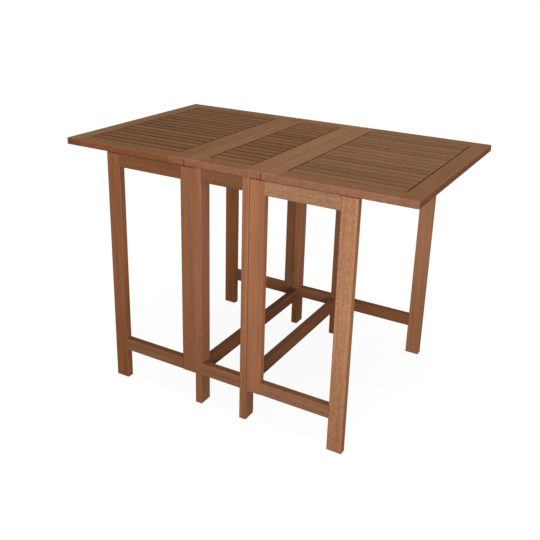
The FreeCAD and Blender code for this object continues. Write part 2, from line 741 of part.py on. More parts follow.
def hang(point, name, hardware, fixed, moving, groups):
    """Places a whole hinge: two leaves, a pin and six screws.

    fixed and moving each hold the direction of the plate and the one away from the wood.
    """
    for kind, (way, out) in (("fixed", fixed), ("moving", moving)):
        plates, screws = groups[kind]
        plates.append(copy_of(hardware[kind], f"{name}_{kind}", point, way, out))
        for index, (along, inset) in enumerate(SCREW_ROWS, start=1):
            lift = f"(Sizes.hinge_plate_thickness - {hardware['seat']})"
            spot = shift(point, (way, inset), (out, lift), (way.cross(out), along))
            screw_name = f"{name}_{kind}_screw_{index}"
            screws.append(copy_of(hardware["screw"], screw_name, spot, way, out.cross(way)))
    groups["pins"].append(copy_of(hardware["pin"], f"{name}_pin", point, *fixed))


def write_group(label, items):
    """Groups copies as one piece with a name of its own."""
    group = doc.addObject("Part::Compound", label)
    group.Links = items
    subpart(group, label)


def hinges():
    """All butt hinges, grouped by the body that carries each part of them."""
    pin = hinge_pin("pin_pattern")
    gate_hardware = {
        "seat": BARREL_SEAT,
        "fixed": hinge_leaf("gate_fixed_pattern", BARREL_SEAT, 0),
        "moving": hinge_leaf("gate_moving_pattern", BARREL_SEAT, 1),
        "screw": hinge_screw("gate_screw_pattern", "Sizes.gate_screw_length"),
        "pin": pin,
    }
    leaf_hardware = {
        "seat": LEAF_HINGE_SEAT,
        "fixed": hinge_leaf("leaf_fixed_pattern", LEAF_HINGE_SEAT, 0),
        "moving": hinge_leaf("leaf_moving_pattern", LEAF_HINGE_SEAT, 1),
        "screw": hinge_screw("leaf_screw_pattern", "Sizes.leaf_screw_length"),
        "pin": pin,
    }
    gate_plates, leaf_plates, screws, pins = [], [], [], []
    for side, end in CORNERS:
        groups = {"fixed": (gate_plates, screws), "moving": ([], []), "pins": pins}
        prefix = f"gate_{END_NAMES[end]}_{SIDE_NAMES[side]}"
        outwards = VECTOR(side, 0, 0)
        inwards = VECTOR(0, -end, 0)
        for level, height in HINGE_HEIGHTS.items():
            point = (signed(side, GATE_AXIS_X), signed(end, GATE_AXIS_Y), height)
            name = f"{prefix}_{level}_hinge"
            hang(point, name, gate_hardware, (inwards, outwards), (outwards, inwards), groups)
        write_group(f"{prefix}_hinge_leaves", groups["moving"][0])
        write_group(f"{prefix}_hinge_screws", groups["moving"][1])
    for side in (LEFT, RIGHT):
        groups = {"fixed": (leaf_plates, screws), "moving": ([], []), "pins": pins}
        prefix = f"leaf_{SIDE_NAMES[side]}"
        for index, share in enumerate(LEAF_HINGE_SHARES, start=1):
            point = (signed(side, JOINT_LINE), f"{share} * Sizes.table_depth", LEAF_HINGE_LEVEL)
            name = f"{prefix}_hinge_{index}"
            fixed = (VECTOR(-side, 0, 0), -ALONG_Z)
            moving = (VECTOR(side, 0, 0), -ALONG_Z)
            hang(point, name, leaf_hardware, fixed, moving, groups)
        write_group(f"{prefix}_hinge_leaves", groups["moving"][0])
        write_group(f"{prefix}_hinge_screws", groups["moving"][1])
    write_group("frame_gate_hinge_leaves", gate_plates)
    write_group("frame_leaf_hinge_leaves", leaf_plates)
    write_group("hinge_pins", pins)
    write_group("frame_hinge_screws", screws)


def panel_screws():
    """The screws that hold the centre panel on the upper side rails."""
    master = panel_screw("panel_screw_pattern")
    height = f"{TOP_RAIL_LOW} + Sizes.panel_screw_bore_depth"
    copies = []
    for side, end in CORNERS:
        x = signed(side, f"({FRAME_HALF_LENGTH} - {PANEL_SCREW_LINE})")
        point = (x, signed(end, "Sizes.panel_screw_spacing / 2"), height)
        name = f"panel_screw_{END_NAMES[end]}_{SIDE_NAMES[side]}"
        copies.append(copy_of(master, name, point, ALONG_X, ALONG_Y))
    write_group("panel_screws", copies)


def write_parts():
    """Checks every object and every piece, then writes the pieces."""
    doc.recompute()
    failed = [item.Name for item in doc.Objects if {"Invalid", "Error"} & set(item.State)]
    if failed:
        raise RuntimeError(f"objects failed: {failed}")
    for item in SUBPARTS:
        if item.Shape.isNull() or not item.Shape.isValid():
            raise RuntimeError(f"{item.Label} has no valid shape")
    os.makedirs("parts", exist_ok=True)
    for item in SUBPARTS:
        item.Shape.exportStep(f"parts/{item.Label}.step")
    print(f"{len(SUBPARTS)} pieces written")


centre_frame()
panel("centre", f"-{PANEL_HALF_LENGTH}", PANEL_LENGTH, (LEFT, RIGHT), is_screwed=True)
panel("leaf_left", "-Sizes.table_length / 2", LEAF_LENGTH, (RIGHT,))
panel("leaf_right", LEAF_START, LEAF_LENGTH, (LEFT,))
for side, end in CORNERS:
    gate(side, end)
hinges()
panel_screws()
write_parts()
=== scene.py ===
import math
import random
from functools import cached_property

import bmesh
import bpy
from mathutils import Euler, Matrix, Vector


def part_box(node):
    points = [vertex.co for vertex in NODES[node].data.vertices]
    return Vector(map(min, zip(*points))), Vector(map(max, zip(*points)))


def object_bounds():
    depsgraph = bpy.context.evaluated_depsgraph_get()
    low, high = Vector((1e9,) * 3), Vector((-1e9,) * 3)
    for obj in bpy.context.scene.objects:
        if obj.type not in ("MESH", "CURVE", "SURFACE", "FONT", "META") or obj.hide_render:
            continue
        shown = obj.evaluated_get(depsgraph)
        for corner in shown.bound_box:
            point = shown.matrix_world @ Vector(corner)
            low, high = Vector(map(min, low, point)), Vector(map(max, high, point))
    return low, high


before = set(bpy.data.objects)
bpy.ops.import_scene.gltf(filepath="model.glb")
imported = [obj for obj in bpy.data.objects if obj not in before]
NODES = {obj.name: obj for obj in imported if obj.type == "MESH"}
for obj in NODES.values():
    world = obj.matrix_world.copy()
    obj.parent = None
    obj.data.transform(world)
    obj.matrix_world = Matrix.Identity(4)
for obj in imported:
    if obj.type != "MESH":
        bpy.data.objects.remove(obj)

bl_info = {
    "name": "Slatted Folding Table",
    "version": (1, 0, 0),
    "blender": (4, 5, 0),
    "location": "3D View > Sidebar > Table",
    "description": "Wood, brass and steel finishes for a slatted drop-leaf table, and its studio",
    "category": "Object",
}

CAD_BOX = [list(corner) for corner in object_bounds()]
SIDES = ("left", "right")
ENDS = ("front", "rear")
PANELS = ("centre", "leaf_left", "leaf_right")
GATES = tuple(f"gate_{end}_{side}" for end in ENDS for side in SIDES)
AXES = "XYZ"
WHITE = (1, 1, 1)

# Turns that bring each grain direction to the pattern's own X
GRAIN_TURNS = {
    "X": (0, 0, 0),
    "Y": (0, 0, -math.pi / 2),
    "Z": (0, math.pi / 2, 0),
}
# How far apart the patterns of two boards lie along the grain, in metres
GRAIN_SPREAD = 20
# The least and the greatest depth of a board in its log, in metres
LOG_DEPTHS = (0.05, 0.14)
# The first slat's front edge and the slats' pitch, in metres
SLAT_START = -0.2705
SLAT_PITCH = 0.0338125
# How far apart two slats lie across their log, in metres, and how far apart two fields' picks lie
SLAT_SPREAD = 0.12
PICK_SPREAD = 50

# The wood's patterns: start and stretch along the grain, spread across it, detail and roughness
PATTERNS = {
    "patches": (0, 1.7, 11, 2, 0.5),
    "hues": (7, 2.6, 19, 2, 0.5),
    "waver": (0, 2.4, 8, 1, 0.5),
    "streaks": (0, 3.2, 95, 2, 0.55),
    "fibres": (0, 13, 460, 3, 0.6),
    "specks": (0, 85, 900, 1, 0.5),
    "strokes": (3, 150, 300, 2, 0.6),
}
# How far the bands round the log's heart waver, in metres
WAVER_DEPTH = 0.03
# Slanting strokes on sawn edges: how much along, across and through count in each of their parts
SLANT_PARTS = ((40, 0, -70), (120, 0, 240), (0, 60, 0))
# Sums of patterns, each as a plain value and what every pattern adds: the grain's figure, the long
# patches' light, the lightness of upright edges, and the relief
FIGURE = (0, {"streaks": 0.34, "bands": 0.26, "fibres": 0.22, "patches": 0.18})
PATCH_LIGHT = (0.9, {"patches": 0.2})
EDGE_LIGHT = (0.31, {"streaks": 0.26, "slants": 1.12})
RELIEF = (0, {"fibres": 0.5, "streaks": 0.2, "pores": -0.8})
# The figure's values between which the grain turns from dark to light
FIGURE_STEP = (0.3, 0.7)
# How much darker and lighter full contrast makes the grain, and how much redder
GRAIN_DARK = (0.62, 0.3)
GRAIN_LIGHT = (0.55, -0.2)
# Slow changes of hue: lightness, redness, share, and the values between which they come in
HUE_CHANGES = ((0.96, 1.3, 0.5, (0.5, 0.75)), (1.04, -1, 0.4, (0.5, 0.25)))
# How much of the flat faces' look the upright edges' look hides
EDGE_COVER = 0.85
# How much lighter a painted highlight makes the rims of the upper faces, and how far up those rims
# face
RIM_HIGHLIGHT = 0.35
RIM_LOW = (0.25, 0.6)
RIM_HIGH = (0.995, 0.9)
# Where pores and pale flecks show, and how strongly
PORE_STEP = (0.58, 0.74)
PORE_COVER = 0.4
FLECK_STEP = (0.46, 0.74)
FLECK_COVER = 0.4
FLECK_LIFT = 0.9
# The lightness of a board on which flecks have their own colour
FLECK_BOARD = 1.3
# How much darker sawn ends are, and those of the panels' boards
END_SHADE = 0.08
EDGED_END_SHADE = 0.02
# How much fibres and sawn ends change the roughness, and how high the relief stands, in metres
FIBRE_ROUGHNESS = 0.16
END_ROUGHNESS = 0.12
RELIEF_STRENGTH = 0.2
RELIEF_HEIGHT = 0.0004
# How much oiled wood mirrors
WOOD_GLOSS = 0.01
# How far a surface faces along an axis where a look starts and where it is full: upright edges,
# slats' sides with painted shade, each board's sides with painted light and shade, sawn ends, and
# the side that a gate covers, with painted shade
EDGE_FACING = (0.6, 0.2)
PAINTED_SLAT_SIDE_FACING = (0.7, 0.3)
PAINTED_FACE_FACING = (0.5, 0.8)
END_FACING = (0.75, 0.95)
PAINTED_COVER_FACING = (0.3, 0.7)
# The share of the grain's contrast that the boards round the slats, and the slats, show
BOARD_CALM = 0.7
SLAT_CALM = 0.85
# What one step of redness adds to red, green and blue
REDNESS_SHARES = (0.075, -0.015, -0.11)

# Clouds for each metre of brass and of steel, and brass's upright scratches
BRASS_CLOUDS = 110
STEEL_CLOUDS = 400
SCRATCHES = (900, 900, 60)
# Where the brass's green bloom shows, and how strongly
BLOOM_STEP = (0.4, 0.66)
BLOOM_COVER = 0.75
# How strong the metals' relief is, and how high it stands, in metres
BRASS_RELIEF_STRENGTH = 0.15
STEEL_RELIEF_STRENGTH = 0.1
METAL_RELIEF_HEIGHT = 0.0002
# The metals' looks, each as a plain value and what every pattern adds
BRASS_LOOKS = {
    "light": (0.85, {"scratches": 0.3}),
    "metallic": (0.8, {"bloom": -0.6}),
    "roughness": (0.4, {"bloom": 0.3, "scratches": 0.1}),
    "relief": (0, {"scratches": 1, "bloom": -0.5}),
}
STEEL_LOOKS = {
    "light": (0.75, {"clouds": 0.5}),
    "roughness": (0.38, {"clouds": 0.2}),
}
STEEL_METALLIC = 0.9

# The places of the factor, the two colours and the result among a Mix node's sockets
MIX_FACTOR, MIX_FIRST, MIX_SECOND = 0, 6, 7
MIX_RESULT = 2


def shade(red, green, blue):
    """A colour given in display steps of 0 to 255, as linear light."""
    def linear(step):
        part = step / 255
        if part <= 0.04045:
            return part / 12.92
        return ((part + 0.055) / 1.055) ** 2.4

    return tuple(linear(step) for step in (red, green, blue))


# Each board's lightness, redness and share of pale flecks, beside its group's colour; the lightness
# and redness are partly the wood's own tone and partly painted light and shade
BOARD_TONES_AND_PAINTED_LIGHT = {
    "centre_stile_left": (0.95, -0.5, 0.1),
    "centre_stile_right": (1.1, -0.25, 0.1),
    "centre_rail_front": (0.85, 0.25, 0.2),
    "centre_rail_rear": (1, -0.75, 0.1),
    "leaf_left_stile_left": (0.95, -1, 0.1),
    "leaf_left_rail_front": (0.8, -0.25, 0.2),
    "leaf_left_rail_rear": (0.85, -0.25, 0.1),
    "leaf_right_stile_left": (1.1, -0.5, 0.1),
    "leaf_right_stile_right": (0.8, 0.5, 0.1),
    "leaf_right_rail_front": (0.85, 0, 0.3),
    "leaf_right_rail_rear": (0.85, -0.75, 0.1),
    "centre_slats": (0.8, 1, 0.1),
    "leaf_left_slats": (0.8, 0.75, 0.1),
    "leaf_right_slats": (0.95, 0, 0.1),
    "leg_front_left": (1.05, 0, 0.1),
    "leg_front_right": (1.2, 0, 0.2),
    "leg_rear_left": (1.2, 0.5, 0.1),
    "apron_front": (0.75, -0.25, 0.2),
    "stretcher_front": (0.85, -0.25, 0.1),
    "side_stretcher_left": (0.95, 0.5, 0.1),
    "side_stretcher_right": (1, -0.5, 0.1),
    "gate_front_left_leg": (0.85, 0.75, 0.1),
    "gate_front_left_top_rail": (0.65, 1, 0.2),
    "gate_front_left_low_rail": (0.7, -0.25, 0.1),
    "gate_front_right_leg": (1.5, -1, 0.5),
    "gate_front_right_stile": (1.2, 0, 0.1),
    "gate_front_right_top_rail": (1.4, -2, 0.6),
    "gate_front_right_low_rail": (0.95, -1, 0.2),
    "gate_rear_left_leg": (1.1, 1, 0.1),
    "gate_rear_left_low_rail": (0.8, 1, 0.1),
    "gate_rear_right_leg": (1.35, -0.75, 0.3),
    "gate_rear_right_low_rail": (0.8, 1, 0.1),
}
# The look of every other board
PLAIN_LOOK = (0.9, 0, 0.1)

# Painted light and shade: how much lighter and redder than the rest a board's faces across each
# axis are, as light falls on them
PAINTED_FACE_LIGHT_AND_SHADE = {
    "centre_stile_left": {"X": (0.45, 1), "Y": (1.1, 0)},
    "centre_stile_right": {"X": (1.2, -0.5), "Y": (1.2, -1)},
    "centre_rail_front": {"Y": (1.2, -1)},
    "leaf_left_stile_left": {"X": (0.45, 1), "Y": (0.6, 1.5)},
    "leaf_left_stile_right": {"Y": (1.1, -0.5)},
    "leaf_left_rail_front": {"Y": (0.8, 1.5)},
    "leaf_right_stile_left": {"X": (0.45, 1), "Y": (1.15, -0.75)},
    "leaf_right_stile_right": {"X": (0.85, 0.5), "Y": (1.2, -1.5)},
    "leaf_right_rail_front": {"Y": (1.25, -1.5)},
    "centre_slats": {"X": (0.6, 1)},
    "leaf_left_slats": {"X": (0.6, 1)},
    "leaf_right_slats": {"X": (0.4, 1.5)},
    "leg_front_left": {"X": (1.5, -1)},
    "leg_front_right": {"X": (1.25, -1.5)},
    "leg_rear_left": {"X": (1.5, -1.5)},
    "stretcher_front": {"Z": (0.8, 0.5)},
    "stretcher_rear": {"Z": (0.7, 0.5)},
    "side_stretcher_left": {"Z": (0.6, 0)},
    "side_stretcher_right": {"Z": (0.9, 0.5)},
    "gate_front_left_leg": {"X": (1.4, 0)},
    "gate_front_left_stile": {"X": (1.3, 0)},
    "gate_front_left_top_rail": {"Z": (2, 0)},
    "gate_front_left_low_rail": {"Z": (0.85, 0.5)},
    "gate_front_right_leg": {"X": (0.9, 1)},
    "gate_front_right_stile": {"X": (1.2, 0.5)},
    "gate_front_right_top_rail": {"Z": (2, 0)},
    "gate_front_right_low_rail": {"Z": (0.75, 1)},
    "gate_rear_left_leg": {"X": (1.4, 0)},
    "gate_rear_right_leg": {"X": (1.15, 0.25)},
    "gate_rear_right_low_rail": {"Z": (0.8, 0.5)},
}
# Painted shade: how much darker each field's slats are on their sides and beside their gaps; a
# share below 0 paints light there
PAINTED_GAP_SHADES = {
    "centre_slats": (0.05, 0.25),
    "leaf_left_slats": (0.05, 0.3),
    "leaf_right_slats": (-0.15, 0.1),
}
# Where the painted shade beside a gap starts and is full, in pitches from a slat's middle
PAINTED_GAP_STEP = (0.2, 0.44)

# The way along X in which the gates beside each leg of the frame hang
GATE_WAYS = {
    f"leg_{end}_{side}": way
    for end in ENDS
    for side, way in (("left", -1), ("right", 1))
}
# Painted shade: how much darker a leg is where a gate covers it, above the gates' low edges, in
# metres
PAINTED_GATE_SHADE = 0.5
GATE_FOOT = (0.097, 0.102)
# Painted shade: how light and red uprights are at the floor, and the heights between which they
# change, in metres
PAINTED_FLOOR_SHADE = (0.77, 0.5)
PAINTED_FLOOR_HEIGHTS = (0.42, 0.05)


class Value:
    """A number that varies over a surface and can be used in sums."""

    def __init__(self, finish, socket):
        self.finish = finish
        self.socket = socket

    def __add__(self, other):
        return self.finish.maths("ADD", self, other)

    def __sub__(self, other):
        return self.finish.maths("SUBTRACT", self, other)

    def __rsub__(self, other):
        return self.finish.maths("SUBTRACT", other, self)

    def __mul__(self, other):
        return self.finish.maths("MULTIPLY", self, other)

    def __truediv__(self, other):
        return self.finish.maths("DIVIDE", self, other)

    def __rtruediv__(self, other):
        return self.finish.maths("DIVIDE", other, self)

    def __abs__(self):
        return self.finish.maths("ABSOLUTE", self)

    __radd__ = __add__
    __rmul__ = __mul__


class Finish:
    """The nodes that make one material, or the air round the table."""

    def __init__(self, holder):
        self.holder = holder
        self.holder.use_nodes = True
        self.tree = self.holder.node_tree
        self.tree.nodes.clear()

    def add(self, kind, settings=None, inputs=None):
        """A node of a kind, with its settings and then the values or links of its sockets."""
        node = self.tree.nodes.new(kind)
        for name, setting in (settings or {}).items():
            setattr(node, name, setting)
        for name, item in (inputs or {}).items():
            if isinstance(item, Value):
                self.tree.links.new(item.socket, node.inputs[name])
            elif isinstance(item, bpy.types.NodeSocket):
                self.tree.links.new(item, node.inputs[name])
            else:
                node.inputs[name].default_value = item
        return node

    @cached_property
    def place(self):
        """The place on the surface with the table at rest, in metres."""
        return self.add("ShaderNodeTexCoord").outputs["Object"]

    @cached_property
    def spot(self):
        """The three parts of the place."""
        return self.split(self.place)

    @cached_property
    def normal(self):
        """The three parts of the way that the surface faces."""
        return self.split(self.add("ShaderNodeTexCoord").outputs["Normal"])

    def facing(self, axis, low, high):
        """A soft step over how far the surface faces along an axis, either way."""
        return self.step(abs(self.normal[AXES.index(axis)]), low, high)

    def maths(self, operation, *terms):
        """A Math node on one or more terms."""
        node = self.add("ShaderNodeMath", {"operation": operation}, dict(enumerate(terms)))
        return Value(self, node.outputs[0])

    def split(self, vector):
        """The three parts of a vector."""
        node = self.add("ShaderNodeSeparateXYZ", None, {"Vector": vector})
        return tuple(Value(self, socket) for socket in node.outputs)

    def joined(self, *parts):
        """A vector of three parts."""
        node = self.add("ShaderNodeCombineXYZ", None, dict(zip(AXES, parts)))
        return node.outputs["Vector"]

    def noise(self, vector, detail=2, roughness=0.5):
        """Soft noise between 0 and 1 over a vector that is already scaled."""
        sockets = {"Vector": vector, "Scale": 1, "Detail": detail, "Roughness": roughness}
        node = self.add("ShaderNodeTexNoise", {"noise_dimensions": "3D"}, sockets)
        return Value(self, node.outputs[0])

    def noise_line(self, value, detail):
        """Soft noise between 0 and 1 over a single value that is already scaled."""
        sockets = {"W": value, "Scale": 1, "Detail": detail}
        node = self.add("ShaderNodeTexNoise", {"noise_dimensions": "1D"}, sockets)
        return Value(self, node.outputs[0])

    def step(self, value, low, high):
        """A soft step from 0 at low to 1 at high."""
        sockets = {"Value": value, "From Min": low, "From Max": high}
        node = self.add("ShaderNodeMapRange", {"interpolation_type": "SMOOTHSTEP"}, sockets)
        return Value(self, node.outputs["Result"])

    def mixed(self, first, second, factor, blend="MIX"):
        """A colour between two colours."""
        settings = {"data_type": "RGBA", "blend_type": blend}
        sockets = {MIX_FACTOR: factor}
        for place, colour in ((MIX_FIRST, first), (MIX_SECOND, second)):
            sockets[place] = (*colour, 1) if isinstance(colour, tuple) else colour
        return self.add("ShaderNodeMix", settings, sockets).outputs[MIX_RESULT]

    def scaled(self, vector, factor):
        """A vector made longer or shorter, or a colour made lighter or darker."""
        settings = {"operation": "SCALE"}
        node = self.add("ShaderNodeVectorMath", settings, {0: vector, "Scale": factor})
        return node.outputs["Vector"]

    def bump(self, height, strength, distance):
        """A surface normal that follows a height."""
        sockets = {"Height": height, "Strength": strength, "Distance": distance}
        return self.add("ShaderNodeBump", None, sockets).outputs["Normal"]

    def surface(self, **sockets):
        """The material's shader, with its sockets given by name."""
        inputs = {name.replace("_", " "): item for name, item in sockets.items()}
        shader = self.add("ShaderNodeBsdfPrincipled", None, inputs)
        self.add("ShaderNodeOutputMaterial", None, {"Surface": shader.outputs["BSDF"]})
        return self.holder

    def shown(self):
        """1 for what the camera sees directly, mirrored or through glass, and 0 for other light."""
        rays = self.add("ShaderNodeLightPath")
        seen, mirrored, through = (
            Value(self, rays.outputs[f"Is {kind} Ray"])
            for kind in ("Camera", "Glossy", "Transmission")
        )
        return self.maths("MAXIMUM", self.maths("MAXIMUM", seen, mirrored), through)

    def blended(self, first, second, factor):
        """A shader between the shaders of two nodes."""
        sockets = {0: factor, 1: first.outputs[0], 2: second.outputs[0]}
        return self.add("ShaderNodeMixShader", None, sockets).outputs[0]


def colour_property(name, description, default):
    """A colour that the user may change."""
    return bpy.props.FloatVectorProperty(
        name=name,
        description=description,
        subtype="COLOR",
        size=3,
        min=0,
        max=1,
        default=default,
    )


class TableWoodSettings(bpy.types.PropertyGroup):
    """Colours and grain of the table's boards."""

    top_colour: colour_property("Top Boards", "Colour of the top's boards", shade(134, 93, 62))
    slat_colour: colour_property("Slats", "Colour of the slats", shade(127, 90, 61))
    frame_colour: colour_property("Frame", "Colour of the frame's boards", shade(149, 98, 69))
    gate_colour: colour_property("Gates", "Colour of the gates' boards", shade(150, 100, 70))
    edge_colour: colour_property("Edges", "Colour of the panels' upright edges", shade(144, 91, 66))
    pore_colour: colour_property("Pores", "Colour of the wood's open pores", shade(88, 54, 34))
    fleck_colour: colour_property("Flecks", "Colour of the short pale flecks", shade(196, 166, 116))
    band_width: bpy.props.FloatProperty(
        name="Band Width",
        description="Distance between two soft bands of the grain",
        unit="LENGTH",
        default=0.011,
    )
    contrast: bpy.props.FloatProperty(
        name="Grain Contrast",
        description="How much the grain changes the boards' lightness",
        subtype="FACTOR",
        min=0,
        max=1,
        default=0.42,
    )
    slat_contrast: bpy.props.FloatProperty(
        name="Slat Contrast",
        description="How much one slat's lightness differs from the next",
        subtype="FACTOR",
        min=0,
        max=1,
        default=0.32,
    )
    roughness: bpy.props.FloatProperty(
        name="Roughness",
        description="How dull the oiled surface is",
        subtype="FACTOR",
        min=0,
        max=1,
        default=0.6,
    )


class TableMetalSettings(bpy.types.PropertyGroup):
    """Colours of the hinges and screws."""

    brass_colour: colour_property("Brass", "Colour of the hinges", shade(120, 84, 46))
    patina_colour: colour_property("Patina", "Colour of the hinges' green bloom", shade(66, 64, 28))
    steel_colour: colour_property("Steel", "Colour of the screws", shade(66, 58, 46))


class TableStudioSettings(bpy.types.PropertyGroup):
    """Floor and light of the studio."""

    floor_colour: colour_property("Floor", "Colour that the floor throws back", (0.22, 0.22, 0.22))
    floor_size: bpy.props.FloatProperty(
        name="Floor Size",
        description="Length of the floor's sides",
        unit="LENGTH",
        default=60,
    )
    shadow_strength: bpy.props.FloatProperty(
        name="Shadow",
        description="How much of the table's shadow shows on the floor",
        subtype="FACTOR",
        min=0,
        max=1,
        default=0.14,
    )
    floor_glow: bpy.props.FloatProperty(
        name="Floor Glow",
        description="Strength of the white in which the floor is seen",
        min=0,
        default=1.05,
    )
    front_light: bpy.props.FloatProperty(
        name="Front Light",
        description="Strength of the large low lamp in front",
        min=0,
        default=1.4,
    )
    near_light: bpy.props.FloatProperty(
        name="Near Light",
        description="Power of the square lamp in front, which lights the table's upper parts most",
        unit="POWER",
        min=0,
        default=27,
    )
    rear_light: bpy.props.FloatProperty(
        name="Rear Light",
        description="Strength of the weak lamp behind",
        min=0,
        default=0.5,
    )
    top_light: bpy.props.FloatProperty(
        name="Top Light",
        description="Strength of the large lamp above",
        min=0,
        default=0.88,
    )
    side_light: bpy.props.FloatProperty(
        name="Side Light",
        description="Power of the square lamp above the right side",
        unit="POWER",
        min=0,
        default=7,
    )
    air_light: bpy.props.FloatProperty(
        name="Air Light",
        description="Strength of the light from all round",
        min=0,
        default=0.34,
    )


def toned(colour, lightness, redness=0):
    """A plain colour made lighter and redder."""
    parts = zip(colour, REDNESS_SHARES)
    return tuple(part * lightness * (1 + share * redness) for part, share in parts)


def weighted(patterns, plain, shares):
    """A plain value with some patterns added, each times its share."""
    return sum((patterns[name] * share for name, share in shares.items()), plain)


def clothe(name, material):
    """Gives a piece of the frame its material."""
    if name not in NODES:
        raise RuntimeError(f"the frame has no piece named {name}")
    for holder in NODES[name].material_slots:
        holder.material = material


def board_place(finish, name, grain, draws):
    """A board's place in its log: along the grain, and across and through from the heart."""
    low, high = (Vector(corner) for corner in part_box(name))
    turn = Euler(GRAIN_TURNS[grain])
    centre = turn.to_matrix() @ ((low + high) / 2)
    depth = draws.uniform(*LOG_DEPTHS)
    angle = draws.uniform(-math.pi, math.pi)
    along = draws.uniform(0, GRAIN_SPREAD)
    start = Vector((along, depth * math.cos(angle), depth * math.sin(angle)))
    sockets = {"Vector": finish.place, "Rotation": turn, "Location": start - centre}
    mapping = finish.add("ShaderNodeMapping", {"vector_type": "POINT"}, sockets)
    return finish.split(mapping.outputs["Vector"])


def slat_place(finish, place, draws):
    """A field's place moved on from slat to slat, each slat's tone, and the way to its middle."""
    along, across, through = place
    rows = (finish.spot[1] - SLAT_START) / SLAT_PITCH
    picks = finish.add(
        "ShaderNodeTexWhiteNoise",
        {"noise_dimensions": "1D"},
        {"W": finish.maths("FLOOR", rows) + draws.random() * PICK_SPREAD},
    )
    red, green, blue = finish.split(picks.outputs["Color"])
    place = (along + red * GRAIN_SPREAD, across + (green - 0.5) * SLAT_SPREAD, through)
    return place, blue - 0.5, abs(finish.maths("FRACT", rows) - 0.5)


def grain_patterns(finish, place, band_width):
    """The wood's patterns over a board, each between 0 and 1."""
    along, across, through = place
    patterns = {}
    for name, (start, stretch, spread, detail, roughness) in PATTERNS.items():
        vector = finish.joined(along * stretch + start, across * spread, through * spread)
        patterns[name] = finish.noise(vector, detail, roughness)
    radius = finish.maths("SQRT", across * across + through * through)
    bands = (radius + patterns["waver"] * WAVER_DEPTH) / band_width
    patterns["bands"] = finish.noise_line(bands, detail=2)
    patterns["pores"] = finish.step(patterns["specks"], *PORE_STEP)
    return patterns


def grained(finish, tone, contrast, patterns):
    """A plain colour with the grain's figure and slow changes of hue."""
    dark = toned(tone, 1 - GRAIN_DARK[0] * contrast, GRAIN_DARK[1])
    light = toned(tone, 1 + GRAIN_LIGHT[0] * contrast, GRAIN_LIGHT[1])
    figure = finish.step(weighted(patterns, *FIGURE), *FIGURE_STEP)
    body = finish.mixed(dark, light, figure)
    for lightness, redness, share, values in HUE_CHANGES:
        change = finish.step(patterns["hues"], *values) * share
        body = finish.mixed(body, toned(tone, lightness, redness), change)
    return body


def edged(finish, body, place, edge_colour, patterns):
    """The colour of a board round the slats, with pinker upright edges and a painted highlight on
    the rims.
    """
    slants = [
        sum(part * share for part, share in zip(place, shares) if share)
        for shares in SLANT_PARTS
    ]
    patterns = {**patterns, "slants": finish.noise(finish.joined(*slants))}
    edges = finish.scaled(edge_colour, weighted(patterns, *EDGE_LIGHT))
    body = finish.mixed(body, edges, finish.facing("Z", *EDGE_FACING) * EDGE_COVER)
    upward = finish.normal[2]
    # A painted highlight on the rims of the upper faces
    rim_highlights = finish.step(upward, *RIM_LOW) * finish.step(upward, *RIM_HIGH)
    return finish.scaled(body, 1 + rim_highlights * RIM_HIGHLIGHT)


def flecked(finish, body, looks, lightness, fleck_share, patterns):
    """A colour with open pores and short pale flecks."""
    body = finish.mixed(body, tuple(looks.pore_colour), patterns["pores"] * PORE_COVER)
    flecks = finish.step(patterns["strokes"], *FLECK_STEP) * fleck_share * FLECK_COVER
    body = finish.mixed(body, toned(looks.fleck_colour, lightness / FLECK_BOARD), flecks)
    return finish.scaled(body, 1 + (patterns["strokes"] - 0.5) * fleck_share * FLECK_LIFT)


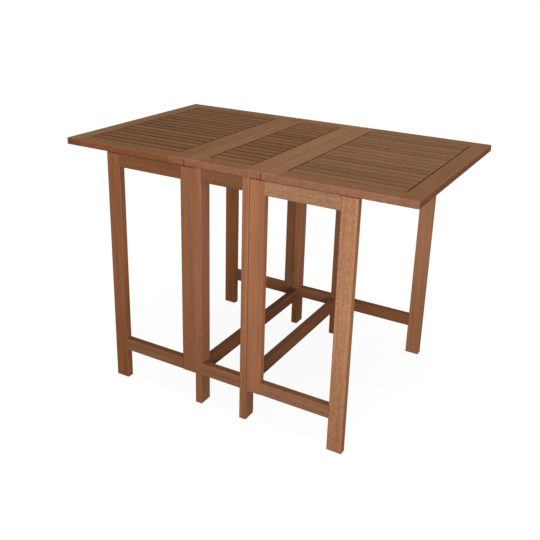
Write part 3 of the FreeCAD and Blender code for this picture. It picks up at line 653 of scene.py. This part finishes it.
def wood(name, grain, colour, calm=1, in_slats=False, is_edged=False):
    """The oiled hardwood of a board or a field of slats; calm is its share of grain contrast."""
    looks = bpy.context.scene.table_wood
    finish = Finish(bpy.data.materials.new(f"wood_{name}"))
    draws = random.Random(name)
    # The board's lightness and redness hold painted light and shade as well as its own tone
    lightness, redness, fleck_share = BOARD_TONES_AND_PAINTED_LIGHT.get(name, PLAIN_LOOK)
    place = board_place(finish, name, grain, draws)
    lift = 1
    if in_slats:
        place, slat_tone, from_middle = slat_place(finish, place, draws)
        # Painted shade darkens the slats' sides and the strips beside their gaps
        painted_side_shade, painted_gap_shade = PAINTED_GAP_SHADES[name]
        painted_sides = finish.facing("Z", *PAINTED_SLAT_SIDE_FACING) * painted_side_shade
        painted_gaps = finish.step(from_middle, *PAINTED_GAP_STEP) * painted_gap_shade
        lift = (1 + slat_tone * looks.slat_contrast) * (1 - painted_sides) * (1 - painted_gaps)
    patterns = grain_patterns(finish, place, looks.band_width)

    tone = toned(colour, lightness, redness)
    body = grained(finish, tone, looks.contrast * calm, patterns)
    if is_edged:
        body = edged(finish, body, place, tuple(looks.edge_colour), patterns)
    if grain == "Z":
        # Painted shade: uprights are darker and redder towards the floor
        floor_shade = finish.step(finish.spot[2], *PAINTED_FLOOR_HEIGHTS)
        body = finish.mixed(body, toned(WHITE, *PAINTED_FLOOR_SHADE), floor_shade, "MULTIPLY")
    if name in GATE_WAYS:
        # Painted shade on the side of a leg that a gate covers
        shaded_by_gate = finish.step(finish.normal[0] * GATE_WAYS[name], *PAINTED_COVER_FACING)
        lift = lift * (1 - finish.step(finish.spot[2], *GATE_FOOT) * shaded_by_gate * PAINTED_GATE_SHADE)
    # Painted light and shade on the faces across each axis
    for axis, look in PAINTED_FACE_LIGHT_AND_SHADE.get(name, {}).items():
        facing = finish.facing(axis, *PAINTED_FACE_FACING)
        body = finish.mixed(body, toned(WHITE, *look), facing, "MULTIPLY")
    body = finish.scaled(body, weighted(patterns, *PATCH_LIGHT) * lift)
    body = flecked(finish, body, looks, lightness, fleck_share, patterns)
    # Sawn ends drink more oil
    end = finish.facing(grain, *END_FACING)
    body = finish.scaled(body, 1 - end * (EDGED_END_SHADE if is_edged else END_SHADE))

    uneven = (patterns["fibres"] - 0.5) * FIBRE_ROUGHNESS + end * END_ROUGHNESS
    relief = weighted(patterns, *RELIEF)
    return finish.surface(
        Base_Color=body,
        Roughness=looks.roughness + uneven,
        Normal=finish.bump(relief, RELIEF_STRENGTH, RELIEF_HEIGHT),
        Specular_IOR_Level=WOOD_GLOSS,
    )


def brass():
    """Aged brass with a green bloom in its hollows."""
    metal = bpy.context.scene.table_metal
    finish = Finish(bpy.data.materials.new("aged_brass"))
    clouds = finish.noise(finish.scaled(finish.place, BRASS_CLOUDS), detail=3)
    bloom = finish.step(clouds, *BLOOM_STEP)
    lines = [part * times for part, times in zip(finish.spot, SCRATCHES)]
    patterns = {"bloom": bloom, "scratches": finish.noise(finish.joined(*lines))}
    looks = {name: weighted(patterns, *look) for name, look in BRASS_LOOKS.items()}
    colours = tuple(metal.brass_colour), tuple(metal.patina_colour)
    return finish.surface(
        Base_Color=finish.scaled(finish.mixed(*colours, bloom * BLOOM_COVER), looks["light"]),
        Metallic=looks["metallic"],
        Roughness=looks["roughness"],
        Normal=finish.bump(looks["relief"], BRASS_RELIEF_STRENGTH, METAL_RELIEF_HEIGHT),
    )


def steel():
    """Dull, darkened steel."""
    metal = bpy.context.scene.table_metal
    finish = Finish(bpy.data.materials.new("dull_steel"))
    clouds = finish.noise(finish.scaled(finish.place, STEEL_CLOUDS), detail=3)
    looks = {name: weighted({"clouds": clouds}, *look) for name, look in STEEL_LOOKS.items()}
    return finish.surface(
        Base_Color=finish.scaled(tuple(metal.steel_colour), looks["light"]),
        Metallic=STEEL_METALLIC,
        Roughness=looks["roughness"],
        Normal=finish.bump(clouds, STEEL_RELIEF_STRENGTH, METAL_RELIEF_HEIGHT),
    )


class TABLE_OT_panel_boards(bpy.types.Operator):
    """Finish the end boards and rails round the slats"""

    bl_idname = "table.panel_boards"
    bl_label = "Panel Boards"

    def execute(self, context):
        colour = tuple(context.scene.table_wood.top_colour)
        boards = [(f"{panel}_stile_{side}", "Y") for panel in PANELS for side in SIDES]
        boards += [(f"{panel}_rail_{end}", "X") for panel in PANELS for end in ENDS]
        for name, grain in boards:
            clothe(name, wood(name, grain, colour, calm=BOARD_CALM, is_edged=True))
        return {"FINISHED"}


class TABLE_OT_slats(bpy.types.Operator):
    """Finish the slats, each with a grain and tone of its own"""

    bl_idname = "table.slats"
    bl_label = "Slats"

    def execute(self, context):
        colour = tuple(context.scene.table_wood.slat_colour)
        for panel in PANELS:
            name = f"{panel}_slats"
            clothe(name, wood(name, "X", colour, calm=SLAT_CALM, in_slats=True))
        return {"FINISHED"}


class TABLE_OT_centre_frame(bpy.types.Operator):
    """Finish the legs, aprons, stretchers and side rails of the centre frame"""

    bl_idname = "table.centre_frame"
    bl_label = "Centre Frame"

    def execute(self, context):
        colour = tuple(context.scene.table_wood.frame_colour)
        boards = [(f"leg_{end}_{side}", "Z") for end in ENDS for side in SIDES]
        boards += [(f"{kind}_{end}", "X") for kind in ("apron", "stretcher") for end in ENDS]
        boards += [(f"side_{kind}_{side}", "Y") for kind in ("rail", "stretcher") for side in SIDES]
        for name, grain in boards:
            clothe(name, wood(name, grain, colour))
        return {"FINISHED"}


class TABLE_OT_gates(bpy.types.Operator):
    """Finish the boards of the four swinging gates"""

    bl_idname = "table.gates"
    bl_label = "Gates"

    def execute(self, context):
        colour = tuple(context.scene.table_wood.gate_colour)
        kinds = {"leg": "Z", "stile": "Z", "top_rail": "X", "low_rail": "X"}
        for gate in GATES:
            for kind, grain in kinds.items():
                name = f"{gate}_{kind}"
                clothe(name, wood(name, grain, colour))
        return {"FINISHED"}


class TABLE_OT_hinges(bpy.types.Operator):
    """Finish the hinge leaves and pins"""

    bl_idname = "table.hinges"
    bl_label = "Hinges"

    def execute(self, context):
        material = brass()
        for carrier in ("frame_gate", "frame_leaf", "leaf_left", "leaf_right", *GATES):
            clothe(f"{carrier}_hinge_leaves", material)
        clothe("hinge_pins", material)
        return {"FINISHED"}


class TABLE_OT_screws(bpy.types.Operator):
    """Finish the screws"""

    bl_idname = "table.screws"
    bl_label = "Screws"

    def execute(self, context):
        material = steel()
        for carrier in ("frame", "leaf_left", "leaf_right", *GATES):
            clothe(f"{carrier}_hinge_screws", material)
        clothe("panel_screws", material)
        return {"FINISHED"}


# The far lamps' azimuth and elevation and how wide they look, in degrees
SUNS = {
    "front": (24, 8, 25),
    "rear": (190, 30, 60),
    "top": (0, 80, 60),
}
# The square lamps' places and sides, in metres
SQUARES = {
    "side": ((0.95, -0.25, 2.3), 1.4),
    "near": ((1.2, -2.75, 1.3), 1.2),
}
# The camera's focal length in picture widths, its turn, tilt and roll in degrees, and its place
CAMERA_REACH = 1.3622
CAMERA_TURN = 29.44
CAMERA_TILT = 19.93
CAMERA_ROLL = 1.47
CAMERA_PLACE = (1.003, -1.861, 1.246)
# How far the picture is cut off its middle, in picture widths
CAMERA_SHIFT = (0.009, -0.085)
# The width of the camera's sensor, in millimetres
SENSOR_WIDTH = 36


def direction(azimuth, elevation):
    """The way to a place in the sky, from degrees; azimuth 0 is straight in front of the table."""
    turn, lift = math.radians(azimuth), math.radians(elevation)
    level = math.cos(lift)
    return Vector((math.sin(turn) * level, -math.cos(turn) * level, math.sin(lift)))


def paint_floor(studio):
    """A pale floor that is seen as white and keeps the table's shadow."""
    finish = Finish(bpy.data.materials.new("pale_floor"))
    shown = finish.shown()
    colour = finish.mixed(tuple(studio.floor_colour), WHITE, shown)
    matt = finish.add("ShaderNodeBsdfDiffuse", None, {"Color": colour})
    light = {"Color": (*WHITE, 1), "Strength": studio.floor_glow}
    glow = finish.add("ShaderNodeEmission", None, light)
    surface = finish.blended(matt, glow, shown * (1 - studio.shadow_strength))
    finish.add("ShaderNodeOutputMaterial", None, {"Surface": surface})
    return finish.holder


def lay_floor(studio):
    """A wide floor under the table."""
    shape = bmesh.new()
    bmesh.ops.create_grid(shape, x_segments=1, y_segments=1, size=studio.floor_size / 2)
    mesh = bpy.data.meshes.new("studio_floor")
    shape.to_mesh(mesh)
    shape.free()
    mesh.materials.append(paint_floor(studio))
    floor = bpy.data.objects.new("studio_floor", mesh)
    bpy.context.collection.objects.link(floor)


def light_air(studio):
    """Even light from all round, and plain white where it is seen or mirrored."""
    finish = Finish(bpy.data.worlds.new("studio_air"))
    soft, white = (
        finish.add("ShaderNodeBackground", None, {"Color": (*WHITE, 1), "Strength": strength})
        for strength in (studio.air_light, 1)
    )
    surface = finish.blended(soft, white, finish.shown())
    finish.add("ShaderNodeOutputWorld", None, {"Surface": surface})
    bpy.context.scene.world = finish.holder


def hang_lamp(name, kind, strength, towards):
    """A lamp that shines from a direction, and is not itself seen."""
    lamp = bpy.data.lights.new(name, kind)
    lamp.energy = strength
    item = bpy.data.objects.new(name, lamp)
    item.rotation_euler = towards.to_track_quat("Z", "Y").to_euler()
    item.visible_camera = False
    bpy.context.collection.objects.link(item)
    return item


def hang_lamps(studio):
    """The large far lamps, and the square ones that face the middle of the table's top."""
    for name, (azimuth, elevation, width) in SUNS.items():
        strength = getattr(studio, f"{name}_light")
        item = hang_lamp(f"{name}_lamp", "SUN", strength, direction(azimuth, elevation))
        item.data.angle = math.radians(width)
    for name, (place, side) in SQUARES.items():
        strength = getattr(studio, f"{name}_light")
        towards = Vector(place) - Vector((0, 0, CAD_BOX[1][2]))
        item = hang_lamp(f"{name}_lamp", "AREA", strength, towards)
        item.location = place
        item.data.size = side


def set_camera():
    """The camera in front of the table's right side, above its top."""
    camera = bpy.data.cameras.new("studio_camera")
    camera.sensor_width = SENSOR_WIDTH
    camera.lens = CAMERA_REACH * SENSOR_WIDTH
    camera.shift_x, camera.shift_y = CAMERA_SHIFT
    item = bpy.data.objects.new("studio_camera", camera)
    bpy.context.collection.objects.link(item)
    back = direction(CAMERA_TURN, CAMERA_TILT)
    turn = math.radians(CAMERA_TURN)
    right = Vector((math.cos(turn), math.sin(turn), 0))
    up = back.cross(right)
    roll = Matrix.Rotation(math.radians(CAMERA_ROLL), 3, "Z")
    stance = Matrix((right, up, back)).transposed() @ roll
    item.matrix_world = Matrix.Translation(CAMERA_PLACE) @ stance.to_4x4()
    bpy.context.scene.camera = item


class TABLE_OT_studio(bpy.types.Operator):
    """Lay the floor, hang the lamps and set the camera"""

    bl_idname = "table.studio"
    bl_label = "Studio"

    def execute(self, context):
        studio = context.scene.table_studio
        lay_floor(studio)
        light_air(studio)
        hang_lamps(studio)
        set_camera()
        context.scene.view_settings.view_transform = "Standard"
        return {"FINISHED"}


OPERATORS = (
    TABLE_OT_panel_boards,
    TABLE_OT_slats,
    TABLE_OT_centre_frame,
    TABLE_OT_gates,
    TABLE_OT_hinges,
    TABLE_OT_screws,
    TABLE_OT_studio,
)


SETTINGS = {
    "table_wood": TableWoodSettings,
    "table_metal": TableMetalSettings,
    "table_studio": TableStudioSettings,
}


class TABLE_PT_workshop(bpy.types.Panel):
    """The table's settings and the steps that finish it"""

    bl_label = "Folding Table"
    bl_idname = "TABLE_PT_workshop"
    bl_space_type = "VIEW_3D"
    bl_region_type = "UI"
    bl_category = "Table"

    def draw(self, context):
        for group_name in SETTINGS:
            group = getattr(context.scene, group_name)
            box = self.layout.box()
            for name in group.__annotations__:
                box.prop(group, name)
        for operator in OPERATORS:
            self.layout.operator(operator.bl_idname)


CLASSES = (*SETTINGS.values(), *OPERATORS, TABLE_PT_workshop)


def register():
    for item in CLASSES:
        bpy.utils.register_class(item)
    for name, group in SETTINGS.items():
        setattr(bpy.types.Scene, name, bpy.props.PointerProperty(type=group))


def unregister():
    for name in SETTINGS:
        delattr(bpy.types.Scene, name)
    for item in reversed(CLASSES):
        bpy.utils.unregister_class(item)


def main():
    """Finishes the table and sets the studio."""
    register()
    bpy.ops.table.panel_boards()
    bpy.ops.table.slats()
    bpy.ops.table.centre_frame()
    bpy.ops.table.gates()
    bpy.ops.table.hinges()
    bpy.ops.table.screws()
    bpy.ops.table.studio()


if __name__ == "__main__":
    main()
